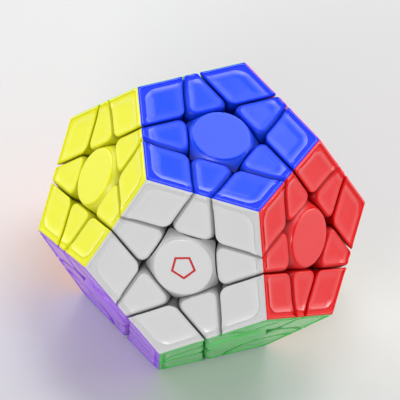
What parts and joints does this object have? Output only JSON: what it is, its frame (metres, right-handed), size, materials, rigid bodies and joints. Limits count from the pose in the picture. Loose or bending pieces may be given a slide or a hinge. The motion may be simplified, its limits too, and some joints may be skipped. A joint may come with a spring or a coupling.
{
  "type": "dodecahedron twisty puzzle",
  "caption": "Dodecahedral twisty puzzle with a coloured layer on each face; the yellow, red and sky layers turn freely about axles that meet in the core.",
  "frame": {"origin": "middle of the core, where all twelve axles meet, which is the centre of the bounding box", "axes": "+Z out of the blue face, so the puzzle stands on its sky face; -Y towards the side of the white face; +X between the red and beige faces"},
  "size_m": [0.078, 0.082, 0.0668],
  "materials": {
    "blue_plastic": "satin moulded plastic, through-coloured",
    "white_plastic": "satin moulded plastic, through-coloured",
    "red_plastic": "satin moulded plastic, through-coloured",
    "yellow_plastic": "satin moulded plastic, through-coloured",
    "pink_plastic": "satin moulded plastic, through-coloured",
    "lime_plastic": "satin moulded plastic, through-coloured",
    "purple_plastic": "satin moulded plastic, through-coloured",
    "green_plastic": "satin moulded plastic, through-coloured",
    "grey_plastic": "satin moulded plastic, through-coloured",
    "sky_plastic": "satin moulded plastic, through-coloured",
    "orange_plastic": "satin moulded plastic, through-coloured",
    "beige_plastic": "satin moulded plastic, through-coloured",
    "core_plastic": "dark moulded plastic"
  },
  "bodies": {
    "core_body": {"corner_blue_pink_lime": "blue_plastic", "corner_white_purple_green": "white_plastic", "corner_grey_orange_lime": "grey_plastic", "corner_grey_lime_pink": "grey_plastic", "corner_grey_pink_beige": "grey_plastic", "edge_blue_white": "blue_plastic", "edge_blue_pink": "blue_plastic", "edge_blue_lime": "blue_plastic", "edge_white_purple": "white_plastic", "edge_white_green": "white_plastic", "edge_grey_orange": "grey_plastic", "edge_grey_pink": "grey_plastic", "edge_grey_lime": "grey_plastic", "edge_grey_beige": "grey_plastic", "edge_orange_purple": "orange_plastic", "edge_orange_lime": "orange_plastic", "edge_pink_lime": "pink_plastic", "edge_pink_beige": "pink_plastic", "edge_purple_green": "purple_plastic", "edge_green_beige": "green_plastic", "centre_blue": "blue_plastic", "centre_white": "white_plastic", "centre_orange": "orange_plastic", "centre_purple": "purple_plastic", "centre_green": "green_plastic", "centre_beige": "beige_plastic", "core_and_rear_centres": "core_plastic"},
    "yellow_layer": {"corner_blue_yellow_white": "blue_plastic", "corner_blue_lime_yellow": "blue_plastic", "corner_white_yellow_purple": "white_plastic", "corner_orange_purple_yellow": "orange_plastic", "corner_orange_yellow_lime": "orange_plastic", "edge_blue_yellow": "blue_plastic", "edge_white_yellow": "white_plastic", "edge_orange_yellow": "orange_plastic", "edge_purple_yellow": "purple_plastic", "edge_lime_yellow": "lime_plastic", "centre_yellow": "yellow_plastic"},
    "red_layer": {"corner_blue_white_red": "blue_plastic", "corner_blue_red_pink": "blue_plastic", "corner_white_green_red": "white_plastic", "corner_red_beige_pink": "red_plastic", "corner_red_green_beige": "red_plastic", "edge_blue_red": "blue_plastic", "edge_white_red": "white_plastic", "edge_red_pink": "red_plastic", "edge_red_green": "red_plastic", "edge_red_beige": "red_plastic", "centre_red": "red_plastic"},
    "sky_layer": {"corner_sky_orange_grey": "sky_plastic", "corner_sky_grey_beige": "sky_plastic", "corner_sky_purple_orange": "sky_plastic", "corner_sky_green_purple": "sky_plastic", "corner_sky_beige_green": "sky_plastic", "edge_sky_grey": "sky_plastic", "edge_sky_orange": "sky_plastic", "edge_sky_purple": "sky_plastic", "edge_sky_green": "sky_plastic", "edge_sky_beige": "sky_plastic", "centre_sky": "sky_plastic"}
  },
  "joints": [
    {"name": "yellow_turn", "type": "hinge", "parent": "core_body", "child": "yellow_layer", "pos_m": [0, 0, 0], "axis": [-0.8507, -0.2764, 0.4472], "continuous": true},
    {"name": "red_turn", "type": "hinge", "parent": "core_body", "child": "red_layer", "pos_m": [0, 0, 0], "axis": [0.8507, -0.2764, 0.4472], "continuous": true},
    {"name": "sky_turn", "type": "hinge", "parent": "core_body", "child": "sky_layer", "pos_m": [0, 0, 0], "axis": [0, 0, -1], "continuous": true}
  ]
}
